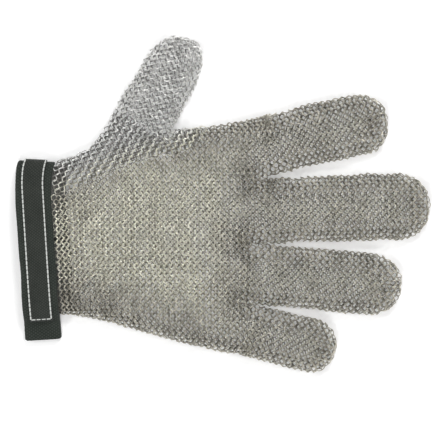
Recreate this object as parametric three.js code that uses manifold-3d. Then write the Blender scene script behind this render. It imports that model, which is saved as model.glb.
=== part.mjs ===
// A chainmail glove for the right hand, empty and lying flat with its back up.
// Each panel of mail is a hollow shell as thick as the leaning steel rings stand, closed at
// the fingertips and open at the wrist, where a woven wrist band holds the cuff.
// Millimetres. X runs from the wrist to the fingers, Y to the thumb side, Z up.
import * as THREE from 'three';
import { mergeVertices } from 'three/addons/utils/BufferGeometryUtils.js';
import Module from 'manifold-3d';

const wasm = await Module();
wasm.setup();

// Mail
const mailWall = 2.1;      // how thick one layer of four-in-one rings stands
const seamGap = 0.3;       // clearance where one panel meets the next

// Palm, from the wrist band to the knuckles
const palmLength = 115;
const wristWidth = 89;
const palmHeight = 13.5;
const palmEdge = 8;        // height of the folded side of the palm
const palmDome = { crown: 2.8, steps: 24 }; // how square the domed top is (2 is an ellipse)
const wristDrop = 2;       // how far the wrist's middle lies to the little-finger side
const wristLean = 3.6;     // degrees that the wrist's edge leans
const knuckleRake = 5.5;   // degrees that the line of the finger roots leans the other way

// Sections of the palm: along is a share of palmLength, spread goes from wristWidth (0) to the
// four finger roots side by side (1), drift is a share of wristDrop, turn goes from the wrist's
// lean (0) to the knuckles' rake (1), and high is a share of palmHeight.
const palmSections = [
  { along: 0.00, spread: 0.00, drift: 1.0, turn: 0.0, high: 0.93 },
  { along: 0.11, spread: 0.06, drift: 0.0, turn: 0.1, high: 0.97 },
  { along: 0.31, spread: 0.30, drift: -0.2, turn: 0.3, high: 1.00 },
  { along: 0.57, spread: 0.63, drift: -0.3, turn: 0.6, high: 1.00 },
  { along: 0.79, spread: 0.82, drift: 0.3, turn: 0.8, high: 0.92 },
  { along: 1.00, spread: 1.00, drift: 0.0, turn: 1.0, high: 0.82 },
];

// Fingers, in their order across the knuckles from the thumb side. root is the width of the
// finger's share of the knuckle line, width its own, and its middle line leaves the root at
// lean degrees and ends at tipLean.
const fingers = [
  { name: 'mail_index', root: 36.4, width: 35.8, length: 73.5, lean: 15.6, tipLean: 9.0 },
  { name: 'mail_middle', root: 38.1, width: 38.8, length: 99.9, lean: 2.6, tipLean: 1.0 },
  { name: 'mail_ring', root: 34.0, width: 36.2, length: 86.7, lean: -4.4, tipLean: -6.0 },
  { name: 'mail_little', root: 30.6, width: 31.8, length: 53.4, lean: -13.0, tipLean: -15.5 },
];
const fingerHeight = 10.6;
const fingerEdge = 6.4;
const fingerDome = { crown: 2.4, steps: 16 };

// Along a finger: along is a share of its length, wide of its width and high of fingerHeight.
const fingerSections = [
  { along: 0.12, wide: 0.985, high: 1.02 },
  { along: 0.30, wide: 0.97, high: 1.00 },
  { along: 0.50, wide: 1.00, high: 0.98 },
];
// The round tip: back is the distance from the tip as a share of half the finger's width.
const tipSections = [
  { back: 1.00 }, { back: 0.70 }, { back: 0.46 }, { back: 0.27 }, { back: 0.12 }, { back: 0.03 },
];

// Thumb: its crotch lies thumbCrotch of palmLength from the wrist, on the palm's side.
const thumbCrotch = 0.588;
const thumbLength = 47.2;
const thumbWidth = 34;
const thumbAngle = 59.5;   // degrees from the palm's long axis
const thumbHeight = 11.4;
const thumbEdge = 6.4;
const thumbDome = { crown: 2.4, steps: 18 };
const thumbSeamStart = 0.23; // where the thumb panel's seam leaves the wrist, a share of its width

// Sections of the thumb from inside the palm to the tip, each between an outer and an inner end.
// The ends are measured from the crotch: up is a share of thumbLength along the thumb's axis and
// side a share of thumbWidth across it. high is a share of thumbHeight.
const thumbSections = [
  { outerUp: -1.40, outerSide: -1.10, innerUp: -0.38, innerSide: 0.34, high: 0.96 },
  { outerUp: -0.98, outerSide: -1.32, innerUp: -0.20, innerSide: 0.18, high: 1.00 },
  { outerUp: -0.77, outerSide: -1.08, innerUp: -0.10, innerSide: 0.07, high: 1.00 },
  { outerUp: -0.51, outerSide: -1.02, innerUp: -0.01, innerSide: -0.01, high: 1.00 },
  { outerUp: -0.23, outerSide: -1.02, innerUp: 0.04, innerSide: -0.01, high: 1.00 },
  { outerUp: 0.07, outerSide: -1.03, innerUp: 0.11, innerSide: -0.01, high: 0.98 },
  { outerUp: 0.38, outerSide: -1.03, innerUp: 0.36, innerSide: -0.02, high: 0.96 },
  { outerUp: 0.59, outerSide: -1.03, innerUp: 0.56, innerSide: -0.02, high: 0.92 },
  { outerUp: 0.73, outerSide: -1.00, innerUp: 0.75, innerSide: -0.07, high: 0.88 },
  { outerUp: 0.86, outerSide: -0.95, innerUp: 0.91, innerSide: -0.16, high: 0.80 },
  { outerUp: 0.95, outerSide: -0.87, innerUp: 1.00, innerSide: -0.31, high: 0.64 },
  { outerUp: 1.00, outerSide: -0.79, innerUp: 1.03, innerSide: -0.49, high: 0.34 },
];

// Wrist band: one loop of webbing whose runs meet in a free tab past the little-finger side.
const bandWidth = 21.6;
const bandWall = 2;
const tabLength = 14.1;
const tabRamp = 2.6;       // how far past the mail the band takes to come down to the tab
const foldRun = 15;        // stretch next to the thumb-side fold where the band curves
const foldShift = 2.9;     // how far its inner edge curves towards the fingers there
const foldNarrow = 1.8;    // how much narrower it is at the fold
const facingInset = 0.3;   // clearance between the facing and the mail's inside
const facingWall = 0.9;
const facingReach = 8.6;   // how far the facing runs under the mail
const facingSewn = 6;      // how much of the facing is sewn inside the band

// Closure strip sewn on the band's outer run
const stripWidth = 12.6;
const stripWall = 0.8;
const stripGap = 0.25;
const stripMargin = 4.6;   // from the band's inner edge to the strip
const stripOverrun = 2.4;  // how far it runs past the mail onto the tab

const mailSteel = { color: 0x9f9d93, roughness: 0.34, metalness: 1 };
const webbing = { color: 0x3b3f3b, roughness: 0.95, metalness: 0 };
const stripCloth = { color: 0x3c3b38, roughness: 0.9, metalness: 0 };

const rad = THREE.MathUtils.degToRad;
const mix = THREE.MathUtils.lerp;
const knuckleWidth = fingers.reduce((sum, finger) => sum + finger.root, 0);

// One flattened section as points [across, up], anticlockwise seen from the fingers: a domed
// top from a superellipse, and a flat bottom between two round corners.
const cornerSteps = 4;
function flatSection(width, height, edge, { crown, steps }) {
  const half = width / 2;
  const corner = Math.min(edge / 2, half * 0.98, height * 0.49);
  const points = [];
  for (let i = 0; i <= steps; i++) {
    const t = Math.PI * i / steps;
    const across = Math.sign(Math.cos(t)) * Math.abs(Math.cos(t)) ** (2 / crown);
    const up = Math.sin(t) ** (2 / crown);
    points.push([half * across, corner + (height - corner) * up]);
  }
  for (let i = 1; i <= cornerSteps; i++) {
    const t = Math.PI / 2 * i / cornerSteps;
    points.push([-half + corner * (1 - Math.cos(t)), corner * (1 - Math.sin(t))]);
  }
  for (let i = cornerSteps; i >= 1; i--) {
    const t = Math.PI / 2 * i / cornerSteps;
    points.push([half - corner * (1 - Math.cos(t)), corner * (1 - Math.sin(t))]);
  }
  return points;
}

// A closed body through sections, each { x, y, turn, width, height, edge, base }: its middle on
// the ground, its turn about Z in degrees, and how far its flat bottom is raised.
function loft(sections, dome) {
  const rings = sections.map((s) => {
    const turn = rad(s.turn);
    return flatSection(s.width, s.height, s.edge, dome).map(([across, up]) => (
      [s.x - Math.sin(turn) * across, s.y + Math.cos(turn) * across, (s.base ?? 0) + up]
    ));
  });
  const count = rings[0].length;
  const faces = [];
  for (let i = 0; i + 1 < rings.length; i++) {
    for (let j = 0; j < count; j++) {
      const a = i * count + j;
      const b = i * count + (j + 1) % count;
      faces.push(a, b, b + count, a, b + count, a + count);
    }
  }
  const last = (rings.length - 1) * count;
  for (let j = 1; j + 1 < count; j++) {
    faces.push(0, j + 1, j);
    faces.push(last, last + j, last + j + 1);
  }
  const geometry = new THREE.BufferGeometry();
  geometry.setAttribute('position', new THREE.Float32BufferAttribute(rings.flat(2), 3));
  geometry.setIndex(faces);
  return geometry;
}

function solid(geometry) {
  const plain = geometry.clone();
  plain.deleteAttribute('normal');
  plain.deleteAttribute('uv');
  const merged = mergeVertices(plain, 1e-4);
  return new wasm.Manifold(new wasm.Mesh({
    numProp: 3,
    vertProperties: new Float32Array(merged.attributes.position.array),
    triVerts: new Uint32Array(merged.index.array),
  }));
}

function namedMesh(name, body, finish) {
  const { vertProperties, triVerts } = body.getMesh();
  const geometry = new THREE.BufferGeometry();
  geometry.setAttribute('position', new THREE.BufferAttribute(vertProperties, 3));
  geometry.setIndex(new THREE.BufferAttribute(triVerts, 1));
  geometry.computeVertexNormals();
  const mesh = new THREE.Mesh(geometry, new THREE.MeshStandardMaterial(finish));
  mesh.name = name;
  return mesh;
}

// The same section one mail wall further in.
function inset(section, wall) {
  return {
    ...section,
    width: section.width - 2 * wall,
    height: section.height - 2 * wall,
    edge: section.edge - 2 * wall,
    base: (section.base ?? 0) + wall,
  };
}

// A section moved by a distance along its own facing direction.
function shifted(section, distance) {
  const turn = rad(section.turn);
  return {
    ...section,
    x: section.x + Math.cos(turn) * distance,
    y: section.y + Math.sin(turn) * distance,
  };
}

const palmRings = palmSections.map((row) => ({
  x: palmLength * row.along,
  y: -wristDrop * row.drift,
  turn: mix(wristLean, -knuckleRake, row.turn),
  width: mix(wristWidth, knuckleWidth, row.spread),
  height: palmHeight * row.high,
  edge: palmEdge,
}));
const wristRing = palmRings[0];
const knuckleRing = palmRings[palmRings.length - 1];

function palmSkins() {
  const inner = palmRings.map((ring) => inset(ring, mailWall));
  const open = [
    shifted(inner[0], -mailWall * 4),
    ...inner,
    shifted(inner[inner.length - 1], mailWall * 4),
  ];
  return {
    outer: solid(loft(palmRings, palmDome)),
    inner: solid(loft(open, palmDome)),
  };
}

// The wrist's edge in plan, or a line before it: it leans with the wrist, and beside the
// thumb-side fold it curves towards the fingers, more so the further before the edge it lies.
const foldSteps = 8;
function wristLine(before) {
  const lean = rad(wristRing.turn);
  const side = wristWidth / 2;
  const curve = foldShift + foldNarrow * before / bandWidth;
  const across = [-side - tabLength - foldRun];
  for (let i = 0; i <= foldSteps; i++) across.push(side - foldRun * (1 - i / foldSteps));
  across.push(side + foldRun);
  return across.map((place) => {
    const share = Math.min(1, Math.max(0, 1 - (side - place) / foldRun)) ** 2;
    const along = -before + curve * share;
    return new THREE.Vector2(
      wristRing.x - Math.sin(lean) * place + Math.cos(lean) * along,
      wristRing.y + Math.cos(lean) * place + Math.sin(lean) * along,
    );
  });
}

// A tall block between two such lines.
function wristBlock(start, end) {
  const outline = new THREE.Shape([...wristLine(end), ...wristLine(start).reverse()]);
  const tall = palmHeight * 4;
  const block = new THREE.ExtrudeGeometry(outline, { depth: tall, bevelEnabled: false });
  return solid(block.translate(0, 0, -tall / 2));
}

// The crotch of the thumb, on the thumb side of the palm.
function sideOfPalm(along) {
  const next = palmSections.findIndex((row) => row.along >= along);
  const low = palmSections[next - 1];
  const high = palmSections[next];
  const share = (along - low.along) / (high.along - low.along);
  const ring = (key) => mix(palmRings[next - 1][key], palmRings[next][key], share);
  return { x: palmLength * along, y: ring('y') + ring('width') / 2 };
}
const crotch = sideOfPalm(thumbCrotch);

function thumbRings(wall) {
  const angle = rad(thumbAngle);
  const along = { x: Math.cos(angle), y: Math.sin(angle) };
  const across = { x: Math.sin(angle), y: -Math.cos(angle) };
  const place = (up, side) => ({
    x: crotch.x + along.x * up * thumbLength + across.x * side * thumbWidth,
    y: crotch.y + along.y * up * thumbLength + across.y * side * thumbWidth,
  });
  const rows = wall > 0 ? thumbSections.slice(0, -1) : thumbSections;
  return rows.map((row, i) => {
    const outer = place(row.outerUp, row.outerSide);
    const inner = place(row.innerUp, row.innerSide);
    const width = Math.hypot(outer.x - inner.x, outer.y - inner.y);
    const high = wall > 0 && i === rows.length - 1 ? row.high * 1.1 : row.high;
    const height = thumbHeight * high;
    const ring = {
      x: (outer.x + inner.x) / 2,
      y: (outer.y + inner.y) / 2,
      turn: THREE.MathUtils.radToDeg(Math.atan2(inner.x - outer.x, outer.y - inner.y)),
      width,
      height,
      edge: Math.min(thumbEdge, height * 0.8),
      base: Math.max(0, (thumbEdge - height) / 2),
    };
    return wall > 0 ? inset(ring, wall) : ring;
  });
}

function thumbSkins() {
  return {
    outer: solid(loft(thumbRings(0), thumbDome)),
    inner: solid(loft(thumbRings(mailWall), thumbDome)),
  };
}

// A tall block that covers everything on the thumb side of the seam, from the wrist to the
// crotch, grown or shrunk by a clearance.
function thumbSide(clearance) {
  const lean = rad(wristRing.turn);
  const fromMiddle = wristWidth * (0.5 - thumbSeamStart);
  const start = {
    x: wristRing.x - Math.sin(lean) * fromMiddle,
    y: wristRing.y + Math.cos(lean) * fromMiddle,
  };
  const run = Math.hypot(crotch.x - start.x, crotch.y - start.y);
  const direction = Math.atan2(crotch.y - start.y, crotch.x - start.x);
  const size = run * 4;
  const block = new THREE.BoxGeometry(size, size, size);
  block.translate(run / 2, size / 2 - clearance, 0);
  block.rotateZ(direction);
  block.translate(start.x, start.y, 0);
  return solid(block);
}

function mailBody() {
  const palm = palmSkins();
  const thumb = thumbSkins();
  const skin = palm.outer.add(thumb.outer);
  const shell = skin.subtract(palm.inner.add(thumb.inner)).subtract(wristBlock(bandWidth, 0));
  return {
    palm: shell.subtract(thumbSide(seamGap)),
    thumb: shell.intersect(thumbSide(0)),
  };
}

// Rings of one finger, its skin (wall 0) or its hollow.
function fingerRings(finger, offset, wall) {
  const rake = rad(knuckleRake);
  const root = {
    x: knuckleRing.x + Math.sin(rake) * offset,
    y: knuckleRing.y + Math.cos(rake) * offset,
    turn: -knuckleRake,
    width: finger.root - seamGap,
    height: palmHeight * palmSections[palmSections.length - 1].high,
    edge: fingerEdge,
  };
  const start = shifted(root, seamGap);
  const half = finger.width / 2;
  const place = (along) => {
    const heading = rad(mix(finger.lean, finger.tipLean, along / 2));
    return {
      x: start.x + Math.cos(heading) * finger.length * along,
      y: start.y + Math.sin(heading) * finger.length * along,
      turn: mix(finger.lean, finger.tipLean, along),
    };
  };
  const body = fingerSections.map((row) => ({
    ...place(row.along),
    width: finger.width * row.wide,
    height: fingerHeight * row.high,
    edge: fingerEdge,
  }));
  const lift = fingerEdge / 2;
  const tip = tipSections.map((row) => {
    const back = row.back * half;
    const rise = (1 - (1 - row.back) ** fingerDome.crown) ** (1 / fingerDome.crown);
    const sink = Math.sqrt(Math.max(0, lift ** 2 - Math.max(0, lift - back) ** 2));
    return {
      ...place(1 - back / finger.length),
      width: 2 * Math.sqrt(half ** 2 - (half - back) ** 2),
      height: sink + (fingerHeight * 0.97 - lift) * rise,
      edge: 2 * sink,
      base: lift - sink,
    };
  });
  const skin = [start, ...body, ...tip];
  if (wall === 0) return skin;
  const hollow = [start, ...body, ...tip.slice(0, -3)].map((ring) => inset(ring, wall));
  return [shifted(hollow[0], -wall * 4), ...hollow];
}

function fingerBody(finger, offset) {
  const skin = solid(loft(fingerRings(finger, offset, 0), fingerDome));
  return skin.subtract(solid(loft(fingerRings(finger, offset, mailWall), fingerDome)));
}

// A bar with the given wrist section, an outline whose X runs across the wrist and whose Y is
// up, long enough to pass through both ends of the band.
function wristBar(outline) {
  const reach = bandWidth * 2;
  const bar = new THREE.ExtrudeGeometry(outline, { depth: reach * 2, bevelEnabled: false });
  const lean = rad(wristRing.turn);
  const frame = new THREE.Matrix4().makeBasis(
    new THREE.Vector3(-Math.sin(lean), Math.cos(lean), 0),
    new THREE.Vector3(0, 0, 1),
    new THREE.Vector3(Math.cos(lean), Math.sin(lean), 0),
  );
  bar.translate(0, 0, -reach).applyMatrix4(frame);
  return solid(bar.translate(wristRing.x, wristRing.y, 0));
}

function wristOutline(wall) {
  const ring = inset(wristRing, wall);
  const points = flatSection(ring.width, ring.height, Math.max(0.6, ring.edge), palmDome);
  return new THREE.Shape(points.map(([across, up]) => new THREE.Vector2(across, up + wall)));
}

// A sleeve of the wrist's section between two walls and two lines before the mail's edge.
function wristSleeve(outside, inside, start, end) {
  const tube = wristBar(wristOutline(outside)).subtract(wristBar(wristOutline(inside)));
  return tube.intersect(wristBlock(start, end));
}

// The tab: from the folded side of the mail the band comes down to its two runs face to face.
const sideTop = palmEdge - 0.5;
function tabOutline() {
  const side = wristWidth / 2;
  return new THREE.Shape([
    new THREE.Vector2(-side + palmEdge / 2, 0),
    new THREE.Vector2(-side + palmEdge / 2, sideTop + 0.6),
    new THREE.Vector2(-side + 0.5, sideTop),
    new THREE.Vector2(-side - tabRamp, 2 * bandWall),
    new THREE.Vector2(-side - tabLength, 2 * bandWall),
    new THREE.Vector2(-side - tabLength, 0),
  ].reverse());
}

function bandBody() {
  const facingOut = mailWall + facingInset;
  const facingIn = facingOut + facingWall;
  const tab = wristBar(tabOutline()).subtract(wristBar(wristOutline(bandWall)));
  return tab.intersect(wristBlock(bandWidth, seamGap))
    .add(wristSleeve(0, bandWall, bandWidth, seamGap))
    .add(wristSleeve(bandWall - 0.1, facingIn, facingSewn, seamGap))
    .add(wristSleeve(facingOut, facingIn, facingSewn, -facingReach));
}

// The strip lies on the band's outer run, from the tab over the dome and round the fold.
function stripBody() {
  const side = wristWidth / 2;
  const dome = flatSection(wristWidth, wristRing.height, palmEdge, palmDome)
    .slice(0, palmDome.steps + 1)
    .reverse()
    .filter(([across, up]) => up > sideTop + 0.6 || across > 0);
  const path = [
    [-side - stripOverrun, 2 * bandWall + (tabRamp - stripOverrun)],
    [-side + 0.5, sideTop],
    ...dome,
  ];
  const raised = (lift) => path.map(([across, up], i) => {
    const before = path[Math.max(0, i - 1)];
    const after = path[Math.min(path.length - 1, i + 1)];
    const run = new THREE.Vector2(after[0] - before[0], after[1] - before[1]).normalize();
    return new THREE.Vector2(across - run.y * lift, up + run.x * lift);
  });
  const outline = new THREE.Shape([
    ...raised(stripGap),
    ...raised(stripGap + stripWall).reverse(),
  ]);
  return wristBar(outline).intersect(wristBlock(stripMargin + stripWidth, stripMargin));
}

const glove = new THREE.Group();
const mail = mailBody();
glove.add(namedMesh('mail_palm', mail.palm, mailSteel));
glove.add(namedMesh('mail_thumb', mail.thumb, mailSteel));
let placed = 0;
for (const finger of fingers) {
  const offset = knuckleWidth / 2 - placed - finger.root / 2;
  glove.add(namedMesh(finger.name, fingerBody(finger, offset), mailSteel));
  placed += finger.root;
}
glove.add(namedMesh('wrist_band', bandBody(), webbing));
glove.add(namedMesh('closure_strip', stripBody(), stripCloth));

// The origin is on the surface under the middle of the glove.
const extent = new THREE.Box3().setFromObject(glove);
const middle = extent.getCenter(new THREE.Vector3());
glove.position.set(-middle.x, -middle.y, -extent.min.z);

export default glove;
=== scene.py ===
import bmesh
import bpy
import math
import numpy as np
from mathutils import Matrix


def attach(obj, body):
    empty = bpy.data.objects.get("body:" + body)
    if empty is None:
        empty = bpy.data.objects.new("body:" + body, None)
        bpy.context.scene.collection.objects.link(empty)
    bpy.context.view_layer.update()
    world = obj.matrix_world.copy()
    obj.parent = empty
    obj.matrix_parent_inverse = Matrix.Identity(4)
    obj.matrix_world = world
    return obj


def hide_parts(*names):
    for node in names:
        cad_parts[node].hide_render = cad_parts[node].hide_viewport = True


# Chain mail glove lying palm down on a table, with a webbing band sewn into its wrist.
# Shapes are worked out in millimetres from the middle of the wrist edge, x to the fingers
# and y to the thumb, and moved to the frame's origin when they become meshes.
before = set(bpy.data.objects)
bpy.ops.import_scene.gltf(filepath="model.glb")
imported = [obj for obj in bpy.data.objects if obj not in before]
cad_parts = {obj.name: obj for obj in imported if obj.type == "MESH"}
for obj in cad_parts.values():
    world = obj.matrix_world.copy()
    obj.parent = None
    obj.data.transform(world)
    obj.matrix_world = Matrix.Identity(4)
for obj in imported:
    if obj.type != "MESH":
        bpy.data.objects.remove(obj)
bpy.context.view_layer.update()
mm = 0.001
chance = np.random.default_rng(11)

glove = {
    "origin": (-96.274, -18.287),   # frame position of the middle of the wrist edge
    "length": 115.0, "wristWidth": 89.0, "wristDrop": 2.0, "wristLean": 3.6, "knuckleRake": 5.5,
    "duller": (6.0, 36.0),          # the steel is duller near the outline than this far inside
    # along the palm, spread to the knuckles' width, sideways drift, turn to the knuckles' rake
    "rows": [(0.00, 0.00, 1.0, 0.0), (0.11, 0.06, 0.0, 0.1), (0.31, 0.30, -0.2, 0.3),
             (0.57, 0.63, -0.3, 0.6), (0.79, 0.82, 0.3, 0.8), (1.00, 1.00, 0.0, 1.0)],
}
fingers = {  # root width, width, length, lean at the root and at the tip in degrees, lattice columns
    "mail_index": {"root": 36.4, "width": 35.8, "length": 73.5, "lean": (15.6, 9.0), "columns": 18},
    "mail_middle": {"root": 38.1, "width": 38.8, "length": 99.9, "lean": (2.6, 1.0), "columns": 20},
    "mail_ring": {"root": 34.0, "width": 36.2, "length": 86.7, "lean": (-4.4, -6.0), "columns": 18},
    "mail_little": {"root": 30.6, "width": 31.8, "length": 53.4, "lean": (-13.0, -15.5), "columns": 16},
}
thumb = {
    "crotch": 0.588, "length": 47.2, "width": 34.0, "angle": 59.5,
    "fan": 0.06, "baseTurn": 6.0,    # its rows spread and turn towards the wrist
    "tubeFrom": -7.0,                # its tube begins here, mm along it from the crotch
    "tubeClear": 0.7, "baseClear": 0.6, "baseSide": 1.6,     # its links begin, the base's end, mm
    "freeFrom": 6.0,                 # the palm's own edge goes on this far past the crotch, mm
    "baseShade": (0.24, 0.30),       # more painted shade on its base than on its tube, back and underside
    "squeeze": 0.92, "squeezeFrom": 20.0,      # its links are smaller this far below the crotch
    "blend": (1.0, 14.0),            # its steel takes the palm's tone this near the seam, mm
    "sides": (-1.03, -0.01),         # its outer and inner side, as shares of its width from the crotch
    "baseMiddle": -0.518,            # the line that its base's rows fan out from, as the same share
    "fanRun": (-4.0, 46.0), "turnRun": (6.0, 52.0),      # how far below the crotch they do, mm
    "seamGap": 0.4,                  # no link nearer to the seam than this, mm
    # outer and inner edge, each as shares of the length up and the width to the side
    "rows": [(-0.77, -1.08, -0.10, 0.07), (-0.51, -1.02, -0.01, -0.01), (-0.23, -1.02, 0.04, -0.01),
             (0.07, -1.03, 0.11, -0.01), (0.38, -1.03, 0.36, -0.02), (0.59, -1.03, 0.56, -0.02),
             (0.73, -1.00, 0.75, -0.07), (0.86, -0.95, 0.91, -0.16), (0.95, -0.87, 1.05, -0.30),
             (1.00, -0.79, 1.07, -0.47)],
    # where its panel is joined to the palm, from the wrist to the palm's edge past the crotch
    "seam": [(-12.0, 17.0), (1.7, 22.2), (19.0, 31.0), (38.7, 40.2), (59.4, 46.2), (74.4, 48.6),
             (82.5, 53.4), (88.0, 64.0), (92.0, 76.0)],
}
waist = ((0.0, 0.12, 0.3, 0.5), (1.0, 0.985, 0.97, 1.0))     # shares of a finger's length and width
links = {
    "wire": 0.50, "largest": 1.78, "sides": 12, "wireSides": 5,
    "largestThumb": 1.86, "slack": 0.01,           # half the least gap between links of one row
    "wireAtRim": 0.59, "rimZone": (2.0, 10.0),     # links near the outline are of thicker wire
    "clear": 0.35,           # the mail begins this far past the wrist's edge, mm
    "outside": 0.6,          # links further out than this past the outline are left out, mm
    "depthSpan": 2.4,        # from the deepest to the highest part of a wire, for the painted shade, mm
    "lean": 27.0,            # how far a link leans out of the mail's surface, degrees
    "leanAtWrist": 31.0,
    "wobble": 4.5,           # random turn of each link, degrees
    "stray": 0.06,           # random shift, mm
    "rimStray": 1.0,         # how much more of it the links on the outline have
    "insideShade": 0.30,     # how much deeper the underside's links count for the painted shade
    "pieceLinks": 1600,      # most links in one piece
    "nearWrist": 30.0,       # the lean changes over this run from the wrist, mm
    "cellRow": 7, "cellMargin": (0.04, 0.08),      # the texture square's cells, one to a link
}
lattice = {
    "palmPitch": 3.947,      # between links of one row at the knuckles, back of the glove
    "palmPitchUnder": 3.875,
    "wristScale": 0.965, "scaleRun": 80.0,         # the pitch at the wrist next to that
    # distance between rows against the distance from the wrist
    "rowAt": (0.0, 12.0, 36.0, 100.0, 122.0, 230.0),
    "rowStep": (1.50, 1.55, 1.67, 1.79, 1.87, 1.89),
    "firstRow": -0.8,        # trimmed away on the back, slid past the wrist's edge underneath
    "lastRow": 235.0,
    "slideFrom": 1.5, "slideTo": 13.0,     # where the underside slides by one row, from its folds
    "turnFrom": 93.0,        # where the palm's columns begin to turn to the fingers
    "ownFrom": 142.0,        # where a finger's links have all of their own pitch
    "mix": (0.4, 5.4), "mixRun": 14.0,     # columns that neighbours share at the crotch, and before it
    "leanRun": (2.0, 42.0), "dropRun": (-2.0, 16.0),     # where the wrist's lean and drop fade out
    "thumbRow": 1.845, "thumbRowUnder": 1.715, "thumbPitch": 4.25,       # at the thumb's base
    "tubeRow": 1.78, "tubeColumns": 18,                                  # on the thumb itself
}
wrap = {  # height of the mail's middle surface against the distance from its folded edge
    "edge": 1.05,            # from the outline to the middle surface
    "foot": 1.05,            # height of the underside
    "side": 3.4,             # height of the fold
    "shoulder": 17.0, "rise": 6.15, "power": 2.4,
    "crown": 2.85, "crownFrom": 3.0, "crownTo": 31.0,     # the back of the hand rises further
    "crownEnds": (88.0, 126.0),
    "wristHigh": 0.935, "wristRun": 26.0,                 # lower at the wrist, over this run
    "backFrom": 0.5,         # links this far above the fold belong to the back
}


def ramp(value, low, high):  # 0 below low, 1 above high, with a smooth S between
    share = np.clip((value - low) / (high - low), 0, 1)
    return share * share * (3 - 2 * share)


def runOf(points):  # the distance along a line at each of its points
    return np.r_[0, np.cumsum(np.linalg.norm(np.diff(points, axis=0), axis=1))]


def spreadPoints(points, step):  # the same line with a point every step
    points = np.asarray(points, float)
    run = runOf(points)
    at = np.linspace(0, run[-1], max(2, int(round(run[-1] / step)) + 1))
    return np.column_stack([np.interp(at, run, points[:, k]) for k in range(points.shape[1])])


def roundOff(points, times=3):  # each corner is cut at a quarter of its sides, several times
    points = np.asarray(points, float)
    for _ in range(times):
        near = 0.75 * points[:-1] + 0.25 * points[1:]
        far = 0.25 * points[:-1] + 0.75 * points[1:]
        inner = np.stack([near, far], 1).reshape(-1, points.shape[1])
        points = np.vstack([points[:1], inner[1:-1], points[-1:]])
    return points


# Outline of the lying glove

knuckleWidth = sum(f["root"] for f in fingers.values())
palmRows = np.array(glove["rows"])
palmX = glove["length"] * palmRows[:, 0]
palmY = -glove["wristDrop"] * palmRows[:, 2]
rake = math.radians(glove["knuckleRake"])
palmTurn = np.radians(glove["wristLean"]
                      + (-glove["knuckleRake"] - glove["wristLean"]) * palmRows[:, 3])
palmWidth = glove["wristWidth"] + (knuckleWidth - glove["wristWidth"]) * palmRows[:, 1]


def palmEdge(side):  # the section's middle moved half a width across, along its turned line
    return np.column_stack([palmX - side * np.sin(palmTurn) * palmWidth / 2,
                            palmY + side * np.cos(palmTurn) * palmWidth / 2])


def onKnuckles(across):  # the place on the knuckle line this far from its middle
    return glove["length"] + math.sin(rake) * across, math.cos(rake) * across


def fingerPath(finger, offset, along):
    # along a gentle arc from the knuckle line: the heading drifts from one lean to the other
    startX, startY = onKnuckles(offset)
    lean, tipLean = np.radians(finger["lean"])
    heading = lean + (tipLean - lean) * along / 2
    turn = lean + (tipLean - lean) * along
    x = startX + np.cos(heading) * finger["length"] * along
    y = startY + np.sin(heading) * finger["length"] * along
    return x, y, turn


def fingerOutline(finger, offset):
    # both sides lie half a width from the middle line, which shrinks to a half circle at the tip
    half = finger["width"] / 2
    straight = np.array([0.12, 0.3, 0.5, 0.62])
    straight = straight[straight < 1 - half / finger["length"]]
    width = np.interp(straight, *waist) * half
    back = 1 - np.sin(np.linspace(0, np.pi / 2, 9))      # round tip
    along = np.r_[straight, 1 - back * half / finger["length"]]
    width = np.r_[width, np.sqrt(half ** 2 - (half - back * half) ** 2)]
    x, y, turn = fingerPath(finger, offset, along)
    sides = []
    for side in (1, -1):
        root = np.array(onKnuckles(offset + side * finger["root"] / 2))
        edge = np.column_stack([x - side * np.sin(turn) * width, y + side * np.cos(turn) * width])
        sides.append(np.vstack([root, edge]))
    return np.vstack([sides[0], sides[1][::-1]])


placed = 0.0
for finger in fingers.values():
    finger["offset"] = knuckleWidth / 2 - placed - finger["root"] / 2
    placed += finger["root"]

crotchX = glove["length"] * thumb["crotch"]
crotchY = np.interp(crotchX, palmX, palmY + palmWidth / 2)
crotch = np.array([crotchX, crotchY])
thumbAngle = math.radians(thumb["angle"])
thumbAlong = np.array([math.cos(thumbAngle), math.sin(thumbAngle)])
thumbAcross = np.array([math.sin(thumbAngle), -math.cos(thumbAngle)])


def thumbPlace(up, side):  # shares of its length up from the crotch, and of its width across
    return (crotch + np.outer(up, thumbAlong) * thumb["length"]
            + np.outer(side, thumbAcross) * thumb["width"])


thumbRows = np.array(thumb["rows"])
thumbOuter = thumbPlace(thumbRows[:, 0], thumbRows[:, 1])
thumbInner = thumbPlace(thumbRows[3:, 2], thumbRows[3:, 3])

thumbSideEdge = palmEdge(1)
littleSideEdge = palmEdge(-1)
pastCrotch = thumbSideEdge[thumbSideEdge[:, 0] > crotchX + thumb["freeFrom"]]
runs = [
    roundOff(np.vstack([thumbSideEdge[:1], thumbOuter, thumbInner[::-1]])),
    roundOff(np.vstack([crotch, pastCrotch])),
]
for finger in fingers.values():
    runs.append(roundOff(fingerOutline(finger, finger["offset"]), 2))
runs.append(roundOff(littleSideEdge[::-1]))
foldLine = np.vstack([spreadPoints(run, 1.2) for run in runs])
print("outline", len(foldLine), "points")


def nearestOn(line, points):
    # each point is dropped square onto every stretch of the line, and the shortest drop is kept
    start, step = line[:-1], np.diff(line, axis=0)
    length2 = np.maximum((step ** 2).sum(1), 1e-9)
    gap = points[:, None, :] - start[None]
    share = np.clip((gap * step[None]).sum(2) / length2, 0, 1)
    foot = start[None] + share[..., None] * step[None]
    away = np.linalg.norm(points[:, None, :] - foot, axis=2)
    best = away.argmin(1)
    index = np.arange(len(points))
    normal = np.column_stack([step[best, 1], -step[best, 0]])
    normal /= np.maximum(np.linalg.norm(normal, axis=1), 1e-9)[:, None]
    return away[index, best], foot[index, best], normal


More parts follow.
